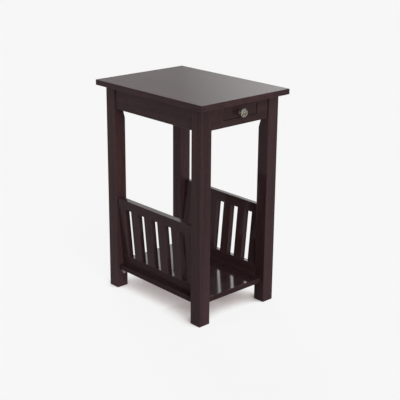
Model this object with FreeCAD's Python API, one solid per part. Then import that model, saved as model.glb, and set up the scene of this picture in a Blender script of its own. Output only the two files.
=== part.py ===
import FreeCAD, Part
import math
import os

# Magazine table: a small chairside table with one drawer, a low shelf and a slatted rack on each side.
# Millimetres. X runs across the table, Y from the drawer side to the back, Z up.
# The origin is on the floor, under the middle of the top.

# Whole table
table_width = 318.0
table_depth = 432.0
table_height = 610.0

# Top board
top_thickness = 15.0
side_overhang = 19.0
end_overhang = 22.0
top_edge_round = 2.0

# Legs: square posts, with the inside corner cut flat at the top for the bolt
leg_size = 36.5
leg_edge_round = 1.5
leg_foot_bevel = 1.0
corner_cut = 13.5
cut_runout = 60.0
cut_drop = 31.0

# Aprons, set back from the outer faces of the legs
apron_thickness = 18.0
apron_recess = 4.0
apron_edge_round = 1.5

# Corner blocks, which pull the legs against the aprons
block_thickness = 14.0
block_gap = 2.0
block_height = 40.0

# Hanger bolts, with their washers and nuts
bolt_diameter = 6.0
bolt_depth = 26.0
bolt_tail = 3.0
washer_diameter = 14.0
washer_thickness = 1.5
nut_across_flats = 10.0
nut_height = 5.0

# Wood screws, up through the blocks into the top
screw_diameter = 3.5
screw_head_diameter = 7.0
screw_head_height = 2.5
screw_grip = 18.0
screw_bite = 10.0
screw_offset = 9.0

# Shelf, notched round the legs and carried on pins
shelf_top = 71.0
shelf_thickness = 15.0
shelf_end_inset = 12.0
shelf_side_inset = 8.0
shelf_clearance = 0.3
shelf_edge_round = 2.0
pin_diameter = 14.0
pin_length = 9.0
pin_flat = 1.0
pin_shank_diameter = 6.0
pin_shank_length = 14.0

# Racks: two rails and the slats between them, leaning outwards
rack_lean = 5.2
rack_foot_inset = 21.7
rack_height = 205.2
rack_thickness = 16.5
rack_top_rail = 28.0
rack_foot_rail = 31.0
rack_edge_round = 1.2
slat_count = 4
slat_width = 30.2
end_slat_width = 31.1
slat_thickness = 15.5
slat_edge_bevel = 0.6
tenon_length = 10.0
tenon_thickness = 6.0
tenon_shoulder = 4.0
rack_dowel_diameter = 6.0
rack_dowel_depth = 15.0
rack_dowel_inset = 6.5

# Drawer front and the front apron round it
drawer_front_height = 29.0
drawer_front_thickness = 14.0
drawer_front_inset = 1.5
drawer_front_round = 0.8
drawer_reveal = 1.0
opening_sill = 18.0
opening_head = 13.0
opening_cheek = 40.5

# Drawer box behind the front
drawer_length = 260.0
drawer_side_thickness = 10.0
drawer_side_setback = 8.0
drawer_side_lift = 2.0
drawer_side_drop = 5.0
drawer_back_thickness = 10.0
drawer_bottom_thickness = 3.0
drawer_bottom_rise = 3.0
drawer_groove_depth = 5.0
drawer_dowel_diameter = 5.0
drawer_dowel_depth = 9.0
drawer_dowel_drop = 8.0

# Drawer runners: grooved battens between the front and back aprons
runner_web = 12.0
runner_lip = 8.0
runner_sole = 12.0
runner_cap = 8.0
runner_dowel_diameter = 5.0
runner_dowel_depth = 10.0
runner_dowel_rise = 5.0

# Knob, turned in metal: foot, waisted neck, flared head, raised rim and low dome
knob_foot_diameter = 12.0
knob_foot_height = 1.6
knob_neck_diameter = 8.0
knob_neck_height = 8.0
knob_flare_diameter = 15.0
knob_flare_height = 12.0
knob_head_diameter = 24.0
knob_rim_height = 15.0
knob_rim_thickness = 2.0
knob_bead_width = 1.2
knob_bead_height = 0.9
knob_dome_diameter = 12.0
knob_dome_height = 1.4
knob_screw_diameter = 4.0
knob_screw_bite = 9.0
knob_screw_head_diameter = 8.0
knob_screw_head_height = 2.4

# Fasteners and the holes for them repeat so often that they are made with few sides
rod_sides = 12

# Clearances
wood_clearance = 0.1
bolt_clearance = 0.3
head_clearance = 0.2
drawer_side_play = 0.6
drawer_foot_play = 0.3
drawer_head_play = 0.8
drawer_stop_play = 0.3

# Places that follow from the sizes above
leg_x = table_width / 2 - side_overhang
leg_y = table_depth / 2 - end_overhang
inner_x = leg_x - leg_size
inner_y = leg_y - leg_size
frame_top = table_height - top_thickness
opening_height = drawer_front_height + 2 * drawer_reveal
apron_bottom = frame_top - opening_head - opening_height - opening_sill
apron_face_x = leg_x - apron_recess
apron_face_y = leg_y - apron_recess
apron_back_x = apron_face_x - apron_thickness
apron_back_y = apron_face_y - apron_thickness

flat_x = inner_x + corner_cut / 2
flat_y = inner_y + corner_cut / 2
block_bottom = frame_top - block_height
bolt_z = frame_top - block_height / 2

shelf_bottom = shelf_top - shelf_thickness
pin_x = leg_x - leg_size / 2
pin_z = shelf_bottom - pin_diameter / 2 + pin_flat

opening_half = inner_x - opening_cheek
opening_bottom = apron_bottom + opening_sill
opening_top = opening_bottom + opening_height
drawer_front_half = opening_half - drawer_reveal
drawer_front_bottom = opening_bottom + drawer_reveal
drawer_front_top = drawer_front_bottom + drawer_front_height
drawer_front_y = drawer_front_inset - apron_face_y
drawer_front_back = drawer_front_y + drawer_front_thickness
drawer_end = drawer_front_y + drawer_length
drawer_half = drawer_front_half - drawer_side_setback
drawer_side_bottom = opening_bottom + drawer_side_lift
drawer_side_top = drawer_front_top - drawer_side_drop
drawer_bottom_z = drawer_side_bottom + drawer_bottom_rise
drawer_dowel_z = drawer_side_top - drawer_dowel_drop
knob_z = drawer_front_bottom + drawer_front_height / 2

runner_wall = drawer_half + drawer_side_play
runner_outer = runner_wall + runner_web
runner_inner = drawer_half - runner_lip
runner_ledge = drawer_side_bottom - drawer_foot_play
runner_bottom = runner_ledge - runner_sole
runner_roof = drawer_side_top + drawer_head_play
runner_top = runner_roof + runner_cap
runner_dowel_x = runner_wall + runner_web / 2
runner_dowel_z = runner_bottom + runner_dowel_rise

Vector = FreeCAD.Vector
origin = Vector(0, 0, 0)
along_x = Vector(1, 0, 0)
along_y = Vector(0, 1, 0)
along_z = Vector(0, 0, 1)
diagonal = Vector(1, 1, 0).normalize()
across = Vector(1, -1, 0).normalize()
over = 1.0
angle_tolerance = 0.001


def box(x0, x1, y0, y1, z0, z1):
    return Part.makeBox(x1 - x0, y1 - y0, z1 - z0, Vector(x0, y0, z0))


def rod(start, direction, length, diameter):
    """Fastener or hole with few sides; rods on the same axis have their sides in line."""
    side = along_x if direction.isParallel(along_z, angle_tolerance) else direction.cross(along_z)
    up = side.cross(direction)
    corners = []
    for index in range(rod_sides):
        turn = 2 * math.pi * index / rod_sides
        corners.append(start + (side * math.cos(turn) + up * math.sin(turn)) * (diameter / 2))
    return prism(corners, length, direction)


def prism(points, length, direction):
    wire = Part.makePolygon(points + points[:1])
    return Part.Face(wire).extrude(direction * length)


def edges_along(shape, direction):
    straight = [edge for edge in shape.Edges if edge.Curve.TypeId == "Part::GeomLine"]
    return [edge for edge in straight if edge.Curve.Direction.isParallel(direction, angle_tolerance)]


def without(shape, cutters):
    for cutter in cutters:
        shape = shape.cut(cutter)
    return shape


def mirrored(shape, right=False, back=False):
    """The piece made for the front left, moved to another corner or side."""
    if right:
        shape = shape.mirror(origin, along_x)
    if back:
        shape = shape.mirror(origin, along_y)
    return shape


def four_corners(shape):
    return [mirrored(shape, right, back) for back in (False, True) for right in (False, True)]


def save(name, *solids):
    shape = solids[0] if len(solids) == 1 else Part.makeCompound(list(solids))
    shape.exportStep(os.path.join("parts", name + ".step"))


# Points on the bolt's axis at the front left corner, measured from the flat on the leg towards the middle

def bolt_point(distance):
    return Vector(-flat_x, -flat_y, bolt_z) + diagonal * distance


def block_outline():
    """Trapezium between the two apron faces, square to the bolt."""
    near = -flat_x - flat_y + block_gap * math.sqrt(2)
    far = near + block_thickness * math.sqrt(2)
    return [
        Vector(-apron_back_x, near + apron_back_x, block_bottom),
        Vector(-apron_back_x, far + apron_back_x, block_bottom),
        Vector(far + apron_back_y, -apron_back_y, block_bottom),
        Vector(near + apron_back_y, -apron_back_y, block_bottom),
    ]


def screw_point(height):
    """Point on the top screw's axis, measured up from the underside of the top."""
    middle = bolt_point(block_gap + block_thickness / 2) + across * screw_offset
    return Vector(middle.x, middle.y, frame_top + height)


def loose(diameter, clearance=wood_clearance):
    """Diameter of the hole for a rod."""
    return diameter + 2 * clearance


def dowel(middle, direction, depth, diameter):
    return rod(middle - direction * depth, direction, 2 * depth, diameter)


def dowel_hole(middle, direction, depth, diameter):
    return dowel(middle, direction, depth + wood_clearance, loose(diameter))


# Racks, made upright with the outer face at x = 0 and then leant over on to the shelf

def lean(shape):
    shape.rotate(origin, along_y, -rack_lean)
    shape.translate(Vector(rack_foot_inset - leg_x, 0, shelf_top))
    return shape


def slat_spans():
    """Front and back edge of every slat, from the front end slat to the back one."""
    open_length = 2 * inner_y - 2 * end_slat_width - slat_count * slat_width
    slot = open_length / (slat_count + 1)
    spans = [(-inner_y, -inner_y + end_slat_width)]
    for index in range(slat_count):
        start = -inner_y + end_slat_width + slot + index * (slat_width + slot)
        spans.append((start, start + slat_width))
    spans.append((inner_y - end_slat_width, inner_y))
    return spans


def slat(front, back):
    """Slat with a tenon at each end."""
    bottom = rack_foot_rail
    top = rack_height - rack_top_rail
    face = (rack_thickness - slat_thickness) / 2
    blade = box(face, face + slat_thickness, front, back, bottom, top)
    blade = blade.makeChamfer(slat_edge_bevel, edges_along(blade, along_z))
    return blade.fuse(tenons(front, back, 0.0)).removeSplitter()


def tenons(front, back, clearance):
    """Both tenons of a slat as one bar; with clearance it cuts the mortises."""
    cheek = (rack_thickness - tenon_thickness) / 2 - clearance
    reach = tenon_length + clearance
    return box(
        cheek, rack_thickness - cheek,
        front + tenon_shoulder - clearance, back - tenon_shoulder + clearance,
        rack_foot_rail - reach, rack_height - rack_top_rail + reach,
    )


def rail_dowel_places():
    """Middle of each dowel where a rail meets a leg, in the upright rack, front ones first."""
    heights = (rack_foot_rail / 2, rack_height - rack_top_rail / 2)
    return [Vector(rack_dowel_inset, end, height) for end in (-inner_y, inner_y) for height in heights]


def rail_dowel_holes():
    places = rail_dowel_places()
    return [dowel_hole(place, along_y, rack_dowel_depth, rack_dowel_diameter) for place in places]


def rail(bottom, top):
    shape = box(0, rack_thickness, -inner_y, inner_y, bottom, top)
    shape = shape.makeFillet(rack_edge_round, edges_along(shape, along_y))
    mortises = [tenons(front, back, wood_clearance) for front, back in slat_spans()]
    return lean(without(shape, mortises + rail_dowel_holes()))


def foot_rail():
    """The foot rail reaches below the shelf while it leans, and is then cut level with it."""
    shape = rail(-rack_thickness, rack_foot_rail)
    return shape.cut(box(-leg_x, 0, -leg_y, leg_y, shelf_top - 2 * rack_thickness, shelf_top))


def rack_dowels():
    places = rail_dowel_places()
    dowels = [lean(dowel(place, along_y, rack_dowel_depth, rack_dowel_diameter)) for place in places]
    return dowels + [mirrored(shape, right=True) for shape in dowels]


# Legs

def corner_cutter():
    """Flat across the inside corner, which fades out below the aprons along an arc."""
    depth = corner_cut / math.sqrt(2)
    radius = (depth**2 + cut_runout**2) / (2 * depth)
    half_turn = math.asin(cut_runout / radius) / 2
    corner = Vector(-inner_x, -inner_y, 0)

    def place(inwards, height):
        return corner - diagonal * inwards + Vector(0, 0, height)

    runout_foot = apron_bottom - cut_drop
    runout_top = runout_foot + cut_runout
    flat_top = place(depth, frame_top + over)
    flat_foot = place(depth, runout_top)
    arc_depth = depth - radius * (1 - math.cos(half_turn))
    arc_middle = place(arc_depth, runout_top - radius * math.sin(half_turn))
    arc_foot = place(0, runout_foot)
    outside_foot = place(-over, runout_foot)
    outside_top = place(-over, frame_top + over)
    edges = [
        Part.LineSegment(flat_top, flat_foot).toShape(),
        Part.Arc(flat_foot, arc_middle, arc_foot).toShape(),
        Part.LineSegment(arc_foot, outside_foot).toShape(),
        Part.LineSegment(outside_foot, outside_top).toShape(),
        Part.LineSegment(outside_top, flat_top).toShape(),
    ]
    cutter = Part.Face(Part.Wire(edges)).extrude(across * (2 * leg_size))
    cutter.translate(across * -leg_size)
    return cutter


def shelf_pin():
    """Round support with a flat for the shelf, on a shank in the leg."""
    face = Vector(-pin_x, -inner_y, pin_z)
    boss = Part.makeCylinder(pin_diameter / 2, pin_length, face, along_y)
    boss = boss.cut(box(-leg_x, -inner_x, -leg_y, leg_y, shelf_bottom, shelf_top))
    return boss.fuse(rod(face, -along_y, pin_shank_length, pin_shank_diameter))


def leg():
    """Front left leg, with its edges eased and the holes for its bolt, shelf pin and rack."""
    shape = box(-leg_x, -inner_x, -leg_y, -inner_y, 0, frame_top)
    shape = shape.makeFillet(leg_edge_round, edges_along(shape, along_z))
    foot = [edge for edge in shape.Edges if edge.CenterOfMass.z < leg_edge_round]
    shape = shape.makeChamfer(leg_foot_bevel, foot)
    bolt_way = bolt_depth + wood_clearance
    pin_face = Vector(-pin_x, -inner_y, pin_z)
    holes = [
        rod(bolt_point(-bolt_way), diagonal, bolt_way + over, loose(bolt_diameter)),
        rod(pin_face, -along_y, pin_shank_length + wood_clearance, loose(pin_shank_diameter)),
    ]
    rack_holes = [lean(hole) for hole in rail_dowel_holes()]
    return without(shape, [corner_cutter()] + holes + rack_holes)


# Frame under the top

def table_top():
    """Board with its corners and upper edges eased, and blind holes for the screws."""
    half_width = table_width / 2
    half_depth = table_depth / 2
    shape = box(-half_width, half_width, -half_depth, half_depth, frame_top, table_height)
    eased = [edge for edge in shape.Edges if edge.CenterOfMass.z > frame_top + over]
    shape = shape.makeFillet(top_edge_round, eased)
    hole = rod(screw_point(0), along_z, screw_bite + wood_clearance, loose(screw_diameter))
    return without(shape, four_corners(hole))


def board(x0, x1, y0, y1, direction):
    """Apron with its two lower edges eased."""
    shape = box(x0, x1, y0, y1, apron_bottom, frame_top)
    lower = [edge for edge in edges_along(shape, direction) if edge.CenterOfMass.z < apron_bottom + over]
    return shape.makeFillet(apron_edge_round, lower)


def side_apron():
    return board(-apron_face_x, -apron_back_x, -inner_y, inner_y, along_y)


def end_apron():
    shape = board(-inner_x, inner_x, -apron_face_y, -apron_back_y, along_x)
    hole = runner_dowel_hole(-apron_back_y)
    return without(shape, [hole, mirrored(hole, right=True)])


def front_apron():
    window = box(-opening_half, opening_half, -leg_y, 0, opening_bottom, opening_top)
    return end_apron().cut(window)


def corner_block():
    """Block glued between the aprons, bored for its bolt and for the screw up into the top."""
    shape = prism(block_outline(), block_height, along_z)
    bolt_reach = 2 * block_gap + block_thickness
    ways = [
        rod(bolt_point(0), diagonal, bolt_reach, loose(bolt_diameter, bolt_clearance)),
        rod(screw_point(-block_height), along_z, block_height, loose(screw_diameter)),
        rod(screw_point(-screw_grip), -along_z, block_height, loose(screw_head_diameter, head_clearance)),
    ]
    return without(shape, ways)


def hanger_bolt():
    reach = block_gap + block_thickness + washer_thickness + nut_height + bolt_tail
    return rod(bolt_point(-bolt_depth), diagonal, bolt_depth + reach, bolt_diameter)


def bolt_washer():
    seat = bolt_point(block_gap + block_thickness)
    ring = rod(seat, diagonal, washer_thickness, washer_diameter)
    return ring.cut(rod(seat, diagonal, washer_thickness, loose(bolt_diameter, bolt_clearance)))


def bolt_nut():
    seat = bolt_point(block_gap + block_thickness + washer_thickness)
    corner_radius = nut_across_flats / math.sqrt(3)
    corners = []
    for turn in range(0, 360, 60):
        outwards = across * math.cos(math.radians(turn)) + along_z * math.sin(math.radians(turn))
        corners.append(seat + outwards * corner_radius)
    blank = prism(corners, nut_height, diagonal)
    return blank.cut(rod(seat, diagonal, nut_height, loose(bolt_diameter)))


def top_screw():
    head = screw_point(-screw_grip)
    shank = rod(head, along_z, screw_grip + screw_bite, screw_diameter)
    return shank.fuse(rod(head, -along_z, screw_head_height, screw_head_diameter))


def shelf():
    """Board between the legs both ways, with its outer edges eased."""
    end_y = leg_y - shelf_end_inset
    side_x = leg_x - shelf_side_inset
    neck_x = inner_x - shelf_clearance
    neck_y = inner_y - shelf_clearance
    corner = [(neck_x, end_y), (neck_x, neck_y), (side_x, neck_y)]
    outline = [(x, -y) for x, y in corner] + corner[::-1]
    outline += [(-x, y) for x, y in corner] + [(-x, -y) for x, y in corner[::-1]]
    shape = prism([Vector(x, y, shelf_bottom) for x, y in outline], shelf_thickness, along_z)
    eased = [edge for edge in edges_along(shape, along_x) if abs(edge.CenterOfMass.y) > end_y - over]
    eased += [edge for edge in edges_along(shape, along_y) if abs(edge.CenterOfMass.x) > side_x - over]
    return shape.makeFillet(shelf_edge_round, eased)


# Drawer, its runners and its knob

def drawer_runner():
    """Grooved batten; the groove stops where the closed drawer ends."""
    shape = box(-runner_outer, -runner_inner, -apron_back_y, apron_back_y, runner_bottom, runner_top)
    groove_end = drawer_end + drawer_stop_play
    groove = box(-runner_wall, 0, -leg_y, groove_end, runner_ledge, runner_roof)
    return without(shape, [groove, runner_dowel_hole(-apron_back_y), runner_dowel_hole(apron_back_y)])


def runner_dowel_hole(end):
    middle = Vector(-runner_dowel_x, end, runner_dowel_z)
    return dowel_hole(middle, along_y, runner_dowel_depth, runner_dowel_diameter)


def runner_dowel():
    middle = Vector(-runner_dowel_x, -apron_back_y, runner_dowel_z)
    return dowel(middle, along_y, runner_dowel_depth, runner_dowel_diameter)


def drawer_bottom(clearance):
    """Bottom board; with clearance it cuts the grooves that hold it."""
    reach = drawer_half - drawer_side_thickness + drawer_groove_depth - wood_clearance + clearance
    front = drawer_front_back - drawer_groove_depth + wood_clearance - clearance
    return box(
        -reach, reach, front, drawer_end + clearance,
        drawer_bottom_z - clearance, drawer_bottom_z + drawer_bottom_thickness + clearance,
    )


def drawer_joints():
    """Middle and direction of the left side's dowel into the front, and of the back's into the side."""
    side_inner = drawer_side_thickness - drawer_half
    front_joint = Vector(side_inner - drawer_side_thickness / 2, drawer_front_back, drawer_dowel_z)
    back_joint = Vector(side_inner, drawer_end - drawer_back_thickness / 2, drawer_dowel_z)
    return [(front_joint, along_y), (back_joint, along_x)]


def drawer_dowels(make):
    """The dowels of both sides, or their holes, as make says."""
    left = []
    for middle, direction in drawer_joints():
        left.append(make(middle, direction, drawer_dowel_depth, drawer_dowel_diameter))
    return left + [mirrored(shape, right=True) for shape in left]


def drawer_front():
    shape = box(
        -drawer_front_half, drawer_front_half, drawer_front_y, drawer_front_back,
        drawer_front_bottom, drawer_front_top,
    )
    rim = [edge for edge in shape.Edges if edge.CenterOfMass.y < drawer_front_y + drawer_front_round]
    shape = shape.makeFillet(drawer_front_round, rim)
    screw_way = rod(Vector(0, -leg_y, knob_z), along_y, leg_size, loose(knob_screw_diameter))
    return without(shape, [drawer_bottom(wood_clearance), screw_way] + drawer_dowels(dowel_hole))


def drawer_side():
    inner = drawer_side_thickness - drawer_half
    shape = box(-drawer_half, inner, drawer_front_back, drawer_end, drawer_side_bottom, drawer_side_top)
    return without(shape, [drawer_bottom(wood_clearance)] + drawer_dowels(dowel_hole))


def drawer_back():
    half = drawer_half - drawer_side_thickness
    floor = drawer_bottom_z + drawer_bottom_thickness
    shape = box(-half, half, drawer_end - drawer_back_thickness, drawer_end, floor, drawer_side_top)
    return without(shape, drawer_dowels(dowel_hole))


def drawer_knob():
    """Turned profile, from the edge of its screw hole out to the rim and over the face to the middle."""
    hole_radius = loose(knob_screw_diameter) / 2
    hole_depth = knob_screw_bite + wood_clearance
    head_radius = knob_head_diameter / 2
    face_height = knob_rim_height + knob_rim_thickness
    profile = [
        (hole_radius, 0),
        (knob_foot_diameter / 2, 0),
        (knob_foot_diameter / 2, knob_foot_height),
        (knob_neck_diameter / 2, knob_neck_height),
        (knob_flare_diameter / 2, knob_flare_height),
        (head_radius, knob_rim_height),
        (head_radius, face_height),
        (head_radius - knob_bead_width, face_height),
        (head_radius - knob_bead_width, face_height - knob_bead_height),
        (knob_dome_diameter / 2, face_height + knob_dome_height),
        (0, face_height + knob_dome_height),
        (0, hole_depth),
        (hole_radius, hole_depth),
    ]
    points = [Vector(radius, drawer_front_y - height, knob_z) for radius, height in profile]
    outline = Part.Face(Part.makePolygon(points + points[:1]))
    return outline.revolve(Vector(0, drawer_front_y, knob_z), along_y, 360)


def knob_screw():
    seat = Vector(0, drawer_front_back, knob_z)
    shank = rod(seat, -along_y, drawer_front_thickness + knob_screw_bite, knob_screw_diameter)
    return shank.fuse(rod(seat, along_y, knob_screw_head_height, knob_screw_head_diameter))


# Every piece, under its own name

os.makedirs("parts", exist_ok=True)

save("table_top", table_top())
corner_names = ("front_left", "front_right", "back_left", "back_right")
for corner_name, piece in zip(corner_names, four_corners(leg())):
    save("leg_" + corner_name, piece)
for corner_name, piece in zip(corner_names, four_corners(corner_block())):
    save("corner_block_" + corner_name, piece)

save("apron_left", side_apron())
save("apron_right", mirrored(side_apron(), right=True))
save("apron_front", front_apron())
save("apron_back", mirrored(end_apron(), back=True))

save("hanger_bolts", *four_corners(hanger_bolt()))
save("bolt_washers", *four_corners(bolt_washer()))
save("bolt_nuts", *four_corners(bolt_nut()))
save("top_screws", *four_corners(top_screw()))

save("shelf", shelf())
save("shelf_pins", *four_corners(shelf_pin()))

top_rail_shape = rail(rack_height - rack_top_rail, rack_height)
foot_rail_shape = foot_rail()
slat_shapes = [lean(slat(front, back)) for front, back in slat_spans()]
slat_names = ["end_slat_front"] + [f"slat_{index + 1}" for index in range(slat_count)] + ["end_slat_back"]
for side, is_right in (("left", False), ("right", True)):
    save(f"rack_{side}_top_rail", mirrored(top_rail_shape, right=is_right))
    save(f"rack_{side}_foot_rail", mirrored(foot_rail_shape, right=is_right))
    for slat_name, slat_shape in zip(slat_names, slat_shapes):
        save(f"rack_{side}_{slat_name}", mirrored(slat_shape, right=is_right))
save("rack_dowels", *rack_dowels())

runner_shape = drawer_runner()
save("drawer_runner_left", runner_shape)
save("drawer_runner_right", mirrored(runner_shape, right=True))
save("runner_dowels", *four_corners(runner_dowel()))

side_board = drawer_side()
save("drawer_front", drawer_front())
save("drawer_side_left", side_board)
save("drawer_side_right", mirrored(side_board, right=True))
save("drawer_back", drawer_back())
save("drawer_bottom", drawer_bottom(0.0))
save("drawer_dowels", *drawer_dowels(dowel))
save("drawer_knob", drawer_knob())
save("knob_screw", knob_screw())
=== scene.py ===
import math
from collections import namedtuple

import bmesh
import bpy
from mathutils import Matrix, Vector


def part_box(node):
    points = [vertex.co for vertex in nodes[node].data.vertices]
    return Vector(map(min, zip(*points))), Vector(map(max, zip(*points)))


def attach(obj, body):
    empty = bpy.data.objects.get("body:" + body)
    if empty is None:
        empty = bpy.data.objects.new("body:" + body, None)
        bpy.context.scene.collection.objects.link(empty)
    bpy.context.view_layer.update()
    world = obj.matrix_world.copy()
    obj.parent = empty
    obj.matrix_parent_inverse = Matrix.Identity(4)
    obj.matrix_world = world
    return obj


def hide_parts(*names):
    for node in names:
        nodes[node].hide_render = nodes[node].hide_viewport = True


# Looks of the magazine table, in metres, in the CAD model's own frame

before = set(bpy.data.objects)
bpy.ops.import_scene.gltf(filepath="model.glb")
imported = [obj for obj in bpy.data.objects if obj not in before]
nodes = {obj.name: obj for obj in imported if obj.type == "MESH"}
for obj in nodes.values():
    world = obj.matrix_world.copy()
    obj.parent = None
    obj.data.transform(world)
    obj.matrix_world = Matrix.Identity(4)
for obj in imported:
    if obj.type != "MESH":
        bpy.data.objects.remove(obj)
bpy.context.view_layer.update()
MM = 0.001
WHITE = (1, 1, 1, 1)


# Shader helpers

EDGE_AGREEMENT = (0.99, 0.85)
LEVEL_RISE = (0.80, 0.98)


class Graph:
    """The nodes of one material or of the world, made and joined in one call each."""

    def __init__(self, owner):
        owner.use_nodes = True
        self.tree = owner.node_tree
        self.tree.nodes.clear()

    def node(self, kind, values=None, **settings):
        made = self.tree.nodes.new(kind)
        for name, value in settings.items():
            setattr(made, name, value)
        for socket, value in (values or {}).items():
            self.feed(made.inputs[socket], value)
        return made

    def feed(self, socket, value):
        if isinstance(value, bpy.types.NodeSocket):
            self.tree.links.new(value, socket)
        else:
            socket.default_value = value

    def math(self, operation, first, second=0.0):
        made = self.node("ShaderNodeMath", {0: first, 1: second}, operation=operation)
        return made.outputs[0]

    def mix(self, factor, first, second):
        values = {0: factor, 6: first, 7: second}
        return self.node("ShaderNodeMix", values, data_type="RGBA").outputs[2]

    def span(self, value, low, high, out_low=0.0, out_high=1.0):
        made = self.node("ShaderNodeMapRange", {0: value, 1: low, 2: high, 3: out_low, 4: out_high})
        return made.outputs[0]

    def coordinates(self):
        return self.node("ShaderNodeTexCoord").outputs["Object"]

    def mapped(self, vector, scale, location=(0, 0, 0), rotation=(0, 0, 0)):
        values = {"Vector": vector, "Location": location, "Rotation": rotation, "Scale": scale}
        return self.node("ShaderNodeMapping", values).outputs[0]

    def noise(self, vector, scale=1.0, detail=2.0, roughness=0.5, distortion=0.0):
        values = {
            "Vector": vector, "Scale": scale, "Detail": detail,
            "Roughness": roughness, "Distortion": distortion,
        }
        return self.node("ShaderNodeTexNoise", values).outputs["Fac"]

    def edge_band(self, reach):
        """1 along the edges of the piece, within the reach, and 0 on its flat faces."""
        softened = self.node("ShaderNodeBevel", {"Radius": reach}, samples=6).outputs[0]
        flat = self.node("ShaderNodeNewGeometry").outputs["True Normal"]
        agree = self.node("ShaderNodeVectorMath", {0: softened, 1: flat}, operation="DOT_PRODUCT")
        return self.span(agree.outputs["Value"], *EDGE_AGREEMENT)

    def level_faces(self):
        """1 on faces that look straight up and 0 on upright ones."""
        flat = self.node("ShaderNodeNewGeometry").outputs["True Normal"]
        rise = self.node("ShaderNodeSeparateXYZ", {0: flat}).outputs["Z"]
        return self.span(rise, *LEVEL_RISE)

    def bump(self, height, strength, distance):
        values = {"Height": height, "Strength": strength, "Distance": distance}
        return self.node("ShaderNodeBump", values).outputs[0]

    def surface(self, shader):
        self.node("ShaderNodeOutputMaterial", {"Surface": shader})


def new_material(name):
    material = bpy.data.materials.new(name)
    return material, Graph(material)


# Wood: noise stretched along the grain, with scales in features to the metre, across and along it

FIGURE_SCALE = (38, 2.2)
FIBRE_SCALE = (420, 11)
PORE_SCALE = (1300, 42)
PATCH_SCALE = 90
PORE_SPAN = (0.60, 0.70)
FIBRE_SPAN = (0.3, 0.7)
BLEND_SPAN = (0.36, 0.64)
PATCH_SPAN = (0.40, 0.62)
PATCH_WEAR = (0.15, 0.75)
SEED_STEP = (0.37, 0.61, 0.83)
FIGURE_SHARE = 0.65
PORE_SHADE = 0.45
PORE_SHARE = 0.7
PORE_ROUGHNESS = 0.06
WORN_ROUGHNESS = 0.12
WOOD_WEAR = 2.5 * MM
PORE_DEPTH = 0.2 * MM
FIBRE_HEIGHT = 0.5
# worn is the paler edge colour: on wood partly wear and thinned stain, partly a painted highlight
Finish = namedtuple("Finish", [
    "dark", "light", "worn", "roughness", "ior", "relief",
    "lacquer", "level_lacquer", "lacquer_roughness",
])
ESPRESSO = Finish(
    dark=(0.0250, 0.0122, 0.0130), light=(0.0420, 0.0205, 0.0218), worn=(0.0900, 0.0430, 0.0410),
    roughness=(0.52, 0.62), ior=1.08, relief=0.03,
    lacquer=0.165, level_lacquer=0.575, lacquer_roughness=0.07,
)
# On the shelf and the foot rails the gloss is strong on level faces and faint on upright ones
GLOSSY_ESPRESSO = ESPRESSO._replace(lacquer=0.065, level_lacquer=0.918, lacquer_roughness=0.11)
BARE = Finish(
    dark=(0.43, 0.29, 0.165), light=(0.60, 0.44, 0.27), worn=(0.52, 0.39, 0.25),
    roughness=(0.55, 0.72), ior=1.45, relief=0.35,
    lacquer=0.0, level_lacquer=0.0, lacquer_roughness=0.0,
)


def grain_noise(graph, place, grain, scale, detail, roughness, distortion=0.0):
    across, along = scale
    stretch = tuple(along if axis == grain else across for axis in "xyz")
    return graph.noise(graph.mapped(place, stretch), 1.0, detail, roughness, distortion)


def wood(name, finish, grain, seed, tilt=0.0, tone=1.0, lies_level=False):
    """Broad figure, fine fibres and short pores under the finish; edges are paler in patches, partly
    thinned stain and wear and partly a painted highlight.

    A piece that lies level has more lacquer on its level faces than on its upright ones.
    """
    material, graph = new_material(name)
    shift = tuple(seed * step for step in SEED_STEP)
    place = graph.mapped(graph.coordinates(), (1, 1, 1), shift, (0, tilt, 0))
    figure = grain_noise(graph, place, grain, FIGURE_SCALE, detail=3.0, roughness=0.55, distortion=0.7)
    fibre = grain_noise(graph, place, grain, FIBRE_SCALE, detail=3.0, roughness=0.6, distortion=0.2)
    pores = grain_noise(graph, place, grain, PORE_SCALE, detail=1.0, roughness=0.5)
    pores = graph.span(pores, *PORE_SPAN)

    # tone scales a whole board's colour: below 1 it is painted shade, above 1 painted light
    dark, light = (tuple(tone * channel for channel in shade) for shade in (finish.dark, finish.light))
    pore_colour = tuple(PORE_SHADE * channel for channel in dark)
    figure = graph.math("MULTIPLY", figure, FIGURE_SHARE)
    blend = graph.math("ADD", figure, graph.math("MULTIPLY", fibre, 1 - FIGURE_SHARE))
    colour = graph.mix(graph.span(blend, *BLEND_SPAN), (*dark, 1), (*light, 1))
    colour = graph.mix(graph.math("MULTIPLY", pores, PORE_SHARE), colour, (*pore_colour, 1))
    patches = graph.noise(place, PATCH_SCALE, detail=3.0, roughness=0.6)
    patches = graph.span(patches, *PATCH_SPAN, *PATCH_WEAR)
    # Paler edges: thinned stain and wear, and a painted highlight along them
    rubbed = graph.math("MULTIPLY", graph.edge_band(WOOD_WEAR), patches)
    colour = graph.mix(rubbed, colour, (*finish.worn, 1))

    roughness = graph.span(fibre, *FIBRE_SPAN, *finish.roughness)
    roughness = graph.math("ADD", roughness, graph.math("MULTIPLY", pores, PORE_ROUGHNESS))
    roughness = graph.math("ADD", roughness, graph.math("MULTIPLY", rubbed, WORN_ROUGHNESS))
    height = graph.math("SUBTRACT", graph.math("MULTIPLY", fibre, FIBRE_HEIGHT), pores)
    lacquer = finish.lacquer
    if lies_level:
        lacquer = graph.span(graph.level_faces(), 0.0, 1.0, finish.lacquer, finish.level_lacquer)
    bsdf = graph.node("ShaderNodeBsdfPrincipled", {
        "Base Color": colour, "Roughness": roughness, "IOR": finish.ior,
        "Coat Weight": lacquer, "Coat Roughness": finish.lacquer_roughness,
        "Normal": graph.bump(height, finish.relief, PORE_DEPTH),
    })
    graph.surface(bsdf.outputs[0])
    return material


# Metal: plated or cast, mottled in colour, shine and surface

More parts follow.
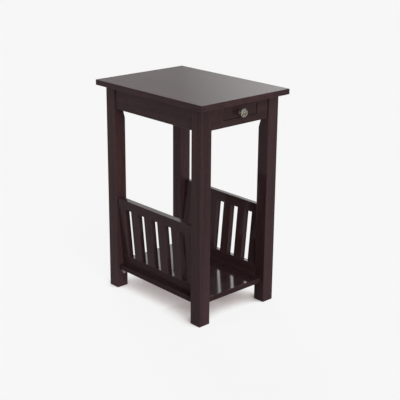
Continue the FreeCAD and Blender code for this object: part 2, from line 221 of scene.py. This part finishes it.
MOTTLE_SPAN = (0.42, 0.58)
SPECK_FINENESS = 6
SPECK_SPAN = (0.35, 0.65)
SPECK_WEAR = (0.3, 0.9)
SHINE_SPAN = (0.3, 0.7)
SPECK_RELIEF = 0.3
RUBBED_SHINE = 0.08
METAL_WEAR = 0.6 * MM
METAL_DEPTH = 0.3 * MM


def metal(name, colour, dull, worn, roughness, grain_size, relief):
    """The grain size counts features to the metre; edges are rubbed bright."""
    material, graph = new_material(name)
    place = graph.coordinates()
    mottle = graph.noise(place, grain_size, detail=4.0, roughness=0.6)
    speck = graph.noise(place, SPECK_FINENESS * grain_size, detail=2.0, roughness=0.5)
    blend = graph.mix(graph.span(mottle, *MOTTLE_SPAN), (*dull, 1), (*colour, 1))
    patches = graph.span(speck, *SPECK_SPAN, *SPECK_WEAR)
    rubbed = graph.math("MULTIPLY", graph.edge_band(METAL_WEAR), patches)
    blend = graph.mix(rubbed, blend, (*worn, 1))
    shine = graph.span(speck, *SHINE_SPAN, *roughness)
    shine = graph.math("SUBTRACT", shine, graph.math("MULTIPLY", rubbed, RUBBED_SHINE))
    height = graph.math("ADD", mottle, graph.math("MULTIPLY", speck, SPECK_RELIEF))
    bsdf = graph.node("ShaderNodeBsdfPrincipled", {
        "Base Color": blend, "Metallic": 1.0, "Roughness": shine,
        "Normal": graph.bump(height, relief, METAL_DEPTH),
    })
    graph.surface(bsdf.outputs[0])
    return material


zinc = metal(
    "zinc_plate", colour=(0.62, 0.62, 0.60), dull=(0.48, 0.48, 0.47), worn=(0.72, 0.71, 0.68),
    roughness=(0.28, 0.42), grain_size=900, relief=0.08,
)
nickel = metal(
    "dull_nickel", colour=(0.44, 0.42, 0.40), dull=(0.30, 0.28, 0.265), worn=(0.56, 0.54, 0.51),
    roughness=(0.30, 0.42), grain_size=700, relief=0.06,
)
pewter = metal(
    "antique_pewter", colour=(0.37, 0.335, 0.30), dull=(0.045, 0.039, 0.034), worn=(0.40, 0.37, 0.33),
    roughness=(0.62, 0.76), grain_size=380, relief=0.35,
)


# Grain of every wooden piece: the axis that its fibres follow

SIDES = ("left", "right")
LEGS = ("front_left", "front_right", "back_left", "back_right")
SLATS = ("end_slat_front", "slat_1", "slat_2", "slat_3", "slat_4", "end_slat_back")
ESPRESSO_GRAIN = {
    "table_top": "y", "shelf": "y",
    "apron_left": "y", "apron_right": "y", "apron_front": "x", "apron_back": "x",
    "drawer_front": "x", **{"leg_" + leg: "z" for leg in LEGS},
}
BARE_GRAIN = {
    "drawer_side_left": "y", "drawer_side_right": "y", "drawer_back": "x", "drawer_bottom": "x",
    "drawer_runner_left": "y", "drawer_runner_right": "y",
    "drawer_dowels": "y", "runner_dowels": "y", "rack_dowels": "y",
    **{"corner_block_" + leg: "x" for leg in LEGS},
}
RACK_GRAIN = {"top_rail": "y", "foot_rail": "y", **{slat: "z" for slat in SLATS}}

# Pieces that lie level and those with the stronger gloss, by the end of their names
LEVEL_PIECES = ("table_top", "shelf", "rail")
GLOSSY_PIECES = ("shelf", "foot_rail")

# Boards painted darker or lighter than the rest, by the start of their names: painted shade on the darker
# ones, painted light on the back legs
PAINTED_LIGHT_AND_SHADE_TONE = {
    "leg_back": 1.10, "rack_left_foot_rail": 0.74, "rack_left": 0.90,
    "apron_front": 0.86, "drawer_front": 0.78, "shelf": 0.70,
}


def dress(node, material):
    mesh = nodes[node].data
    mesh.materials.clear()
    mesh.materials.append(material)


def rack_lean(side):
    """Angle of a rack from the vertical, between the middles of its two rails."""
    rails = [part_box(f"rack_{side}_{rail}") for rail in ("foot_rail", "top_rail")]
    foot, top = ((Vector(low) + Vector(high)) / 2 for low, high in rails)
    return math.atan2(foot.x - top.x, top.z - foot.z)


def dress_wood():
    seed = 0
    tilted = {node: (grain, 0.0) for node, grain in ESPRESSO_GRAIN.items()}
    for side in SIDES:
        for piece, grain in RACK_GRAIN.items():
            tilted[f"rack_{side}_{piece}"] = (grain, rack_lean(side))
    for node, (grain, tilt) in tilted.items():
        seed += 1
        # The board's tone is painted shade or painted light over the whole board
        tone = next((tone for start, tone in PAINTED_LIGHT_AND_SHADE_TONE.items() if node.startswith(start)), 1.0)
        finish = GLOSSY_ESPRESSO if node.endswith(GLOSSY_PIECES) else ESPRESSO
        lies_level = node.endswith(LEVEL_PIECES)
        dress(node, wood("espresso_" + node, finish, grain, seed, tilt, tone, lies_level))
    for node, grain in BARE_GRAIN.items():
        seed += 1
        dress(node, wood("bare_" + node, BARE, grain, seed))


dress_wood()
for node in ("hanger_bolts", "bolt_washers", "bolt_nuts", "top_screws", "knob_screw"):
    dress(node, zinc)
dress("drawer_knob", pewter)
dress("shelf_pins", nickel)


# Turned and threaded pieces: finer forms of the knob and the fasteners, measured from their CAD nodes

class Seat:
    """The axis of one CAD fastener: where it starts, how far its steps lie along it, and its radii."""

    def __init__(self, node, axis, quadrant=None):
        points = [vertex.co for vertex in nodes[node].data.vertices]
        points = [nodes[node].matrix_world @ point for point in points]
        if quadrant:
            points = [point for point in points if point.x * quadrant[0] > 0 and point.y * quadrant[1] > 0]
        self.axis = Vector(axis).normalized()
        along = [point.dot(self.axis) for point in points]
        across = [point - self.axis * height for point, height in zip(points, along)]
        low = Vector(tuple(min(spot[i] for spot in across) for i in range(3)))
        high = Vector(tuple(max(spot[i] for spot in across) for i in range(3)))
        middle = (low + high) / 2
        self.base = middle + self.axis * min(along)
        self.steps = sorted({round((height - min(along)) / MM, 2) for height in along})
        offsets = sorted(((spot - middle) / MM for spot in across), key=lambda offset: offset.length)
        self.inner = offsets[0].length
        self.outer = offsets[-1].length
        self.across = offsets[-1].normalized()
        self.around = self.axis.cross(self.across)

    def place(self, radius, turn, height):
        offset = self.across * (radius * math.cos(turn)) + self.around * (radius * math.sin(turn))
        return self.base + (offset + self.axis * height) * MM


def smooth_profile(points, steps=5):
    """Catmull-Rom curve through (radius, height) points."""
    def between(a, b, c, d, t):
        slope, bend, twist = c - a, 2 * a - 5 * b + 4 * c - d, 3 * b - a - 3 * c + d
        return 0.5 * (2 * b + slope * t + bend * t * t + twist * t ** 3)

    padded = [points[0]] + points + [points[-1]]
    curve = []
    for run in zip(padded, padded[1:], padded[2:], padded[3:]):
        for step in range(steps):
            curve.append(tuple(between(*values, step / steps) for values in zip(*run)))
    return curve + [points[-1]]


def ring_of(mesh, seat, radius, height, sides):
    """One ring of vertices; radius is a number or a function of the turn."""
    turns = [2 * math.pi * index / sides for index in range(sides)]
    reach = radius if callable(radius) else lambda turn: radius
    return [mesh.verts.new(seat.place(reach(turn), turn, height)) for turn in turns]


def join_rings(mesh, rings, closed=False):
    pairs = list(zip(rings, rings[1:]))
    if closed:
        pairs.append((rings[-1], rings[0]))
    for lower, upper in pairs:
        for index in range(len(lower)):
            following = (index + 1) % len(lower)
            mesh.faces.new((lower[index], lower[following], upper[following], upper[index]))


def turned(mesh, seat, profile, sides):
    """Lathe surface along the seat's axis; returns its last ring, left open."""
    rings = [ring_of(mesh, seat, radius, height, sides) for radius, height in profile]
    mesh.faces.new(rings[0])
    join_rings(mesh, rings)
    return rings[-1]


def thread(crest, depth, pitch, start, end, steps=6):
    """Rings of a screw thread: the radius falls from the crest to the root once in each turn."""
    rings = []
    count = round((end - start) / pitch * steps)
    for step in range(count + 1):
        height = start + (end - start) * step / count
        turn_share = height / pitch

        def radius(turn, turn_share=turn_share):
            phase = (turn_share - turn / (2 * math.pi)) % 1.0
            return crest - depth * (1 - abs(2 * phase - 1))

        rings.append((radius, height))
    return rings


def cross_recess(mesh, seat, rim, height, arm, width, depth):
    """Closes a screw head: flat round the rim, with a tapered cross-shaped hollow for the driver."""
    def outline(scale, level):
        half, reach = width / 2 * scale, arm * scale
        corners = [(reach, -half), (reach, half), (half, half)]
        loop = []
        for quarter in range(4):
            for x, y in corners:
                for _ in range(quarter):
                    x, y = -y, x
                loop.append(mesh.verts.new(seat.place(math.hypot(x, y), math.atan2(y, x), level)))
        return loop

    mouth, floor = outline(1.0, height), outline(RECESS_TAPER, height - depth)
    join_rings(mesh, [mouth, floor])
    mesh.faces.new(floor)
    edges = []
    for loop in (rim, mouth):
        for first, second in zip(loop, loop[1:] + loop[:1]):
            edges.append(mesh.edges.get((first, second)))
    bmesh.ops.triangle_fill(mesh, edges=edges, use_beauty=True)


def finished(name, mesh, body, node, material, crease=35):
    """Turns the mesh into a piece that rides on a body and stands for a CAD node."""
    bmesh.ops.recalc_face_normals(mesh, faces=mesh.faces)
    for edge in mesh.edges:
        edge.smooth = edge.calc_face_angle(0.0) < math.radians(crease)
    for face in mesh.faces:
        face.smooth = True
    data = bpy.data.meshes.new(name)
    mesh.to_mesh(data)
    mesh.free()
    data.materials.append(material)
    piece = bpy.data.objects.new(name, data)
    bpy.context.scene.collection.objects.link(piece)
    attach(piece, body)
    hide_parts(node)


CORNERS = [(-1, -1), (1, -1), (-1, 1), (1, 1)]
ROD_SIDES = 24
RING_SIDES = 48
KNOB_SIDES = 64

# Hanger bolts, in millimetres from the end in the leg
BOLT_TIP = 0.6
WOOD_THREAD_RUN = (2.0, 22.0)
WOOD_THREAD_PITCH = 2.6
WOOD_THREAD_DEPTH = 0.9
PLAIN_RUN = (23.0, 31.0)
MACHINE_THREAD_START = 32.0
MACHINE_THREAD_PITCH = 1.0
MACHINE_THREAD_DEPTH = 0.6
BOLT_CHAMFER = 0.8

# Washers and nuts, in millimetres, and the share of a nut that its round face takes
WASHER_SOFTNESS = 0.25
HOLE_CHAMFER = 0.5
NUT_FACE_SHARE = 0.96
NUT_CHAMFER = math.radians(30)

# Screws, in millimetres, with the crown and the recess in shares of the head
TOP_SCREW_PITCH = 1.5
KNOB_SCREW_PITCH = 0.8
SCREW_TIP = 0.3
SCREW_THREAD_START = 1.5
SCREW_THREAD_SHARE = 0.3
SCREW_PLAIN = 3.0
SCREW_RUN_OUT = 1.0
HEAD_EDGE = (0.2, 0.3)
HEAD_CROWN = [(1.0, 0.35), (0.93, 0.72), (0.80, 0.92), (0.62, 1.0)]
RECESS_ARM = 0.48
RECESS_WIDTH = 0.2
RECESS_DEPTH = 0.7
RECESS_TAPER = 0.55


def inward(corner):
    return (-corner[0], -corner[1], 0)


def hanger_bolts():
    """A coarse wood thread in the leg, a plain shank and a machine thread through the nut."""
    mesh = bmesh.new()
    for corner in CORNERS:
        seat = Seat("hanger_bolts", inward(corner), corner)
        crest, length = seat.outer, seat.steps[-1]
        thread_end = length - BOLT_CHAMFER
        profile = [(BOLT_TIP, 0.0)]
        profile += thread(crest, WOOD_THREAD_DEPTH, WOOD_THREAD_PITCH, *WOOD_THREAD_RUN)
        profile += [(crest, height) for height in PLAIN_RUN]
        profile += thread(
            crest, MACHINE_THREAD_DEPTH, MACHINE_THREAD_PITCH, MACHINE_THREAD_START, thread_end,
        )
        profile.append((crest - BOLT_CHAMFER, length))
        mesh.faces.new(turned(mesh, seat, profile, ROD_SIDES))
    finished("hanger_bolt_set", mesh, "table_frame", "hanger_bolts", zinc, crease=60)


def bolt_washers():
    mesh = bmesh.new()
    for corner in CORNERS:
        seat = Seat("bolt_washers", inward(corner), corner)
        inner, outer, top = seat.inner, seat.outer, seat.steps[-1]
        soft = WASHER_SOFTNESS
        profile = [
            (inner + soft, 0), (outer - soft, 0), (outer, soft), (outer, top - soft), (outer - soft, top),
            (inner + soft, top), (inner, top - soft), (inner, soft),
        ]
        rings = [ring_of(mesh, seat, radius, height, RING_SIDES) for radius, height in profile]
        join_rings(mesh, rings, closed=True)
    finished("bolt_washer_set", mesh, "table_frame", "bolt_washers", zinc)


def bolt_nuts():
    """Hexagons whose corners are turned off at both faces."""
    mesh = bmesh.new()
    sixth = math.pi / 3
    for corner in CORNERS:
        seat = Seat("bolt_nuts", inward(corner), corner)
        flat = seat.outer * math.cos(sixth / 2)
        face, hole, top = NUT_FACE_SHARE * flat, seat.inner, seat.steps[-1]
        mouth = hole + HOLE_CHAMFER

        def hexagon(turn, flat=flat):
            return flat / math.cos(turn % sixth - sixth / 2)

        rings = [ring_of(mesh, seat, radius, 0, RING_SIDES) for radius in (mouth, face)]
        for bottom in (True, False):
            ring = ring_of(mesh, seat, hexagon, 0, RING_SIDES)
            rings.append(ring)
            for index, vertex in enumerate(ring):
                reach = hexagon(2 * math.pi * index / RING_SIDES)
                drop = (reach - face) * math.tan(NUT_CHAMFER)
                height = drop if bottom else top - drop
                vertex.co += seat.axis * height * MM
        rings += [ring_of(mesh, seat, radius, top, RING_SIDES) for radius in (face, mouth)]
        bore = (top - HOLE_CHAMFER, HOLE_CHAMFER)
        rings += [ring_of(mesh, seat, hole, height, RING_SIDES) for height in bore]
        join_rings(mesh, rings, closed=True)
    finished("bolt_nut_set", mesh, "table_frame", "bolt_nuts", zinc, crease=20)


def pan_screw(mesh, seat, pitch):
    """Pointed screw with a thread on its shank and a cross recess in its rounded head."""
    under, top = seat.steps[-2], seat.steps[-1]
    shank, head, rise = seat.inner, seat.outer, top - under
    plain = under - SCREW_PLAIN
    inset, lip = HEAD_EDGE
    profile = [(SCREW_TIP, 0.0)]
    profile += thread(shank, SCREW_THREAD_SHARE * shank, pitch, SCREW_THREAD_START, plain - SCREW_RUN_OUT)
    profile += [(shank, plain), (shank, under), (head - inset, under), (head, under + lip)]
    profile += [(reach * head, under + lift * rise) for reach, lift in HEAD_CROWN]
    rim = turned(mesh, seat, profile, ROD_SIDES)
    cross_recess(mesh, seat, rim, top, RECESS_ARM * head, RECESS_WIDTH * head, RECESS_DEPTH * rise)


def top_screws():
    mesh = bmesh.new()
    for corner in CORNERS:
        pan_screw(mesh, Seat("top_screws", (0, 0, -1), corner), TOP_SCREW_PITCH)
    finished("top_screw_set", mesh, "table_frame", "top_screws", zinc)


def knob_screw():
    mesh = bmesh.new()
    pan_screw(mesh, Seat("knob_screw", (0, 1, 0)), KNOB_SCREW_PITCH)
    finished("knob_screw_fine", mesh, "drawer", "knob_screw", zinc)


def drawer_knob():
    """Foot, waisted neck, flared back, rolled rim and a low dome inside a groove.

    The curves are drawn for a knob of one size and fitted to the CAD knob.
    """
    seat = Seat("drawer_knob", (0, -1, 0))
    drawn_radius, drawn_depth = 12.0, 18.4
    wide, deep = seat.outer / drawn_radius, seat.steps[-1] / drawn_depth
    curves = [
        [(5.9, 0.0), (6.0, 0.8), (5.7, 1.5), (4.6, 2.3), (3.9, 4.6), (3.9, 7.4)],
        [(3.9, 7.4), (4.7, 10.0), (7.4, 12.1), (10.7, 14.0), (11.7, 15.0), (12.0, 16.0)],
        [(12.0, 16.0), (11.7, 16.8), (11.1, 17.0), (10.6, 16.4), (10.0, 16.3), (8.6, 17.2)],
        [(8.6, 17.2), (6.0, 18.0), (3.0, 18.3), (0.4, 18.4)],
    ]
    profile = []
    for curve in curves:
        profile += smooth_profile(curve)[:-1]
    profile.append(curves[-1][-1])
    profile = [(wide * radius, deep * height) for radius, height in profile]
    mesh = bmesh.new()
    mesh.faces.new(turned(mesh, seat, profile, KNOB_SIDES))
    finished("knob_turning", mesh, "drawer", "drawer_knob", pewter, crease=60)


hanger_bolts()
bolt_washers()
bolt_nuts()
top_screws()
knob_screw()
drawer_knob()


# Stage: pale floor, even studio light and the camera

BACKGROUND = 0.92
FLOOR_HALF = 20.0
FLOOR_GREYS = ((0.58, 0.58, 0.58, 1), (0.62, 0.62, 0.62, 1))
FLOOR_PATCHES = 3.0
FLOOR_SHARE = 0.90
CONTACT_REACH = 0.12
SHADOW_LEAN = (0.15, -0.52, 0.84)
SHADOW_SKY = (0.25, 0.65)
SHADOW_GLOW = (0.20, 0.965)
SHADOW_TINT = (1.0, 0.86, 0.83, 1)
AMBIENT = 0.30
WALL_AZIMUTH = 43.0
WALL_AHEAD = (0.3, 0.8)
WALL_SPREAD = (-0.028, 0.085)
WALL_GLOW = (-0.33, 0.61)
SOFT_BOX_HEIGHT = (16.0, 22.5)
SOFT_BOX_GLOW = 1.15
PANEL_POWER = 1.2
PANEL_SIZE = 0.4
PANEL_PLACE = (-0.95, 0.0, 0.85)
PANEL_BACK = (-0.80, 0.0, 0.28)


def rays_that_show(graph):
    """1 for rays that show the background: to the camera, in reflections and through glass."""
    path = graph.node("ShaderNodeLightPath").outputs
    seen = graph.math("MAXIMUM", path["Is Camera Ray"], path["Is Glossy Ray"])
    return graph.math("MAXIMUM", seen, path["Is Transmission Ray"])


def stage_floor():
    """Shows white in the open, with a painted shadow close under the object: the glow dims where little
    open sky is seen on a hemisphere leant towards the front.
    """
    material, graph = new_material("studio_floor")
    spread = graph.noise(graph.coordinates(), FLOOR_PATCHES, detail=3.0, roughness=0.5)
    colour = graph.mix(spread, *FLOOR_GREYS)
    bsdf = graph.node("ShaderNodeBsdfDiffuse", {"Color": colour, "Roughness": 0.0})
    lean = graph.node("ShaderNodeCombineXYZ", dict(zip("XYZ", SHADOW_LEAN))).outputs[0]
    sky = graph.node("ShaderNodeAmbientOcclusion", {"Distance": CONTACT_REACH, "Normal": lean}, samples=16)
    open_sky = sky.outputs["AO"]
    # Painted shadow: the floor's white glow dims and warms where the occlusion finds little open sky
    level = graph.span(open_sky, *SHADOW_SKY, *SHADOW_GLOW)
    tint = graph.mix(graph.span(open_sky, *SHADOW_SKY), SHADOW_TINT, WHITE)
    glow = graph.node("ShaderNodeEmission", {"Color": tint, "Strength": level})
    share = graph.math("MULTIPLY", rays_that_show(graph), FLOOR_SHARE)
    floor_shader = graph.node("ShaderNodeMixShader", {0: share, 1: bsdf.outputs[0], 2: glow.outputs[0]})
    graph.surface(floor_shader.outputs[0])
    half = FLOOR_HALF
    data = bpy.data.meshes.new("studio_floor")
    corners = [(-half, -half, 0), (half, -half, 0), (half, half, 0), (-half, half, 0)]
    data.from_pydata(corners, [], [(0, 1, 2, 3)])
    data.materials.append(material)
    floor = bpy.data.objects.new("studio_floor", data)
    bpy.context.scene.collection.objects.link(floor)


def light_world():
    """Even light; in reflections the back wall grows brighter to the right, with a soft box above it."""
    world = bpy.data.worlds.new("studio")
    bpy.context.scene.world = world
    graph = Graph(world)
    direction = graph.node("ShaderNodeTexCoord").outputs["Generated"]
    azimuth = math.radians(WALL_AZIMUTH)

    def facing(vector):
        made = graph.node("ShaderNodeVectorMath", {0: direction, 1: vector}, operation="DOT_PRODUCT")
        return made.outputs["Value"]

    ahead = graph.span(facing((math.sin(azimuth), math.cos(azimuth), 0)), *WALL_AHEAD)
    wall = graph.span(facing((math.cos(azimuth), -math.sin(azimuth), 0)), *WALL_SPREAD, *WALL_GLOW)
    low, high = (math.sin(math.radians(angle)) for angle in SOFT_BOX_HEIGHT)
    wall = graph.math("ADD", wall, graph.span(facing((0, 0, 1)), low, high, 0.0, SOFT_BOX_GLOW))
    reflected = graph.node("ShaderNodeLightPath").outputs["Is Glossy Ray"]
    wall = graph.math("MULTIPLY", graph.math("MULTIPLY", wall, ahead), reflected)
    glow = graph.math("ADD", wall, BACKGROUND)
    lit = graph.node("ShaderNodeBackground", {"Color": WHITE, "Strength": AMBIENT}).outputs[0]
    shown = graph.node("ShaderNodeBackground", {"Color": WHITE, "Strength": glow}).outputs[0]
    mixed = graph.node("ShaderNodeMixShader", {0: rays_that_show(graph), 1: lit, 2: shown})
    graph.node("ShaderNodeOutputWorld", {"Surface": mixed.outputs[0]})


def add_lamp(data, back, location=(0, 0, 0)):
    """Places a lamp whose back is turned to the given direction."""
    lamp = bpy.data.objects.new(data.name, data)
    lamp.location = location
    lamp.rotation_euler = Vector(back).to_track_quat("Z", "Y").to_euler()
    bpy.context.scene.collection.objects.link(lamp)


def sun(name, azimuth, height, strength, softness):
    """Soft lamp; azimuth is where it stands, counted from the front towards the right."""
    data = bpy.data.lights.new(name, "SUN")
    data.energy = strength
    data.angle = math.radians(softness)
    a, e = math.radians(azimuth), math.radians(height)
    add_lamp(data, (math.sin(a) * math.cos(e), -math.cos(a) * math.cos(e), math.sin(e)))


def left_panel():
    """Soft panel high on the left, near enough to fade towards the floor."""
    data = bpy.data.lights.new("left_panel", "AREA")
    data.energy = PANEL_POWER
    data.size = PANEL_SIZE
    add_lamp(data, PANEL_BACK, PANEL_PLACE)


def photo_camera():
    """Fitted to the straight edges in the photograph, with only a small shift."""
    focal_px = 950.0
    image_px = 400.0
    sensor_mm = 36.0
    lens_shift = -0.04
    stand = (-1.6944, -1.8766, 1.1343)
    yaw, pitch, roll = (math.radians(angle) for angle in (42.690, 17.731, 0.474))
    forward = Vector((math.sin(yaw) * math.cos(pitch), math.cos(yaw) * math.cos(pitch), -math.sin(pitch)))
    level = Vector((math.cos(yaw), -math.sin(yaw), 0))
    upright = level.cross(forward)
    right = level * math.cos(roll) + upright * math.sin(roll)
    up = upright * math.cos(roll) - level * math.sin(roll)
    data = bpy.data.cameras.new("photo_camera")
    data.sensor_width = sensor_mm
    data.lens = focal_px / image_px * sensor_mm
    data.shift_y = lens_shift
    data.clip_end = 100.0
    camera = bpy.data.objects.new("photo_camera", data)
    camera.location = stand
    camera.rotation_euler = Matrix((right, up, -forward)).transposed().to_euler()
    bpy.context.scene.collection.objects.link(camera)
    bpy.context.scene.camera = camera


stage_floor()
light_world()
sun("key_lamp", azimuth=-25, height=50, strength=1.25, softness=30)
sun("low_lamp", azimuth=-17, height=13, strength=1.85, softness=25)
sun("fill_lamp", azimuth=20, height=8, strength=0.4, softness=25)
sun("rear_lamp", azimuth=150, height=48, strength=1.0, softness=20)
left_panel()
photo_camera()
bpy.context.scene.view_settings.view_transform = "Standard"
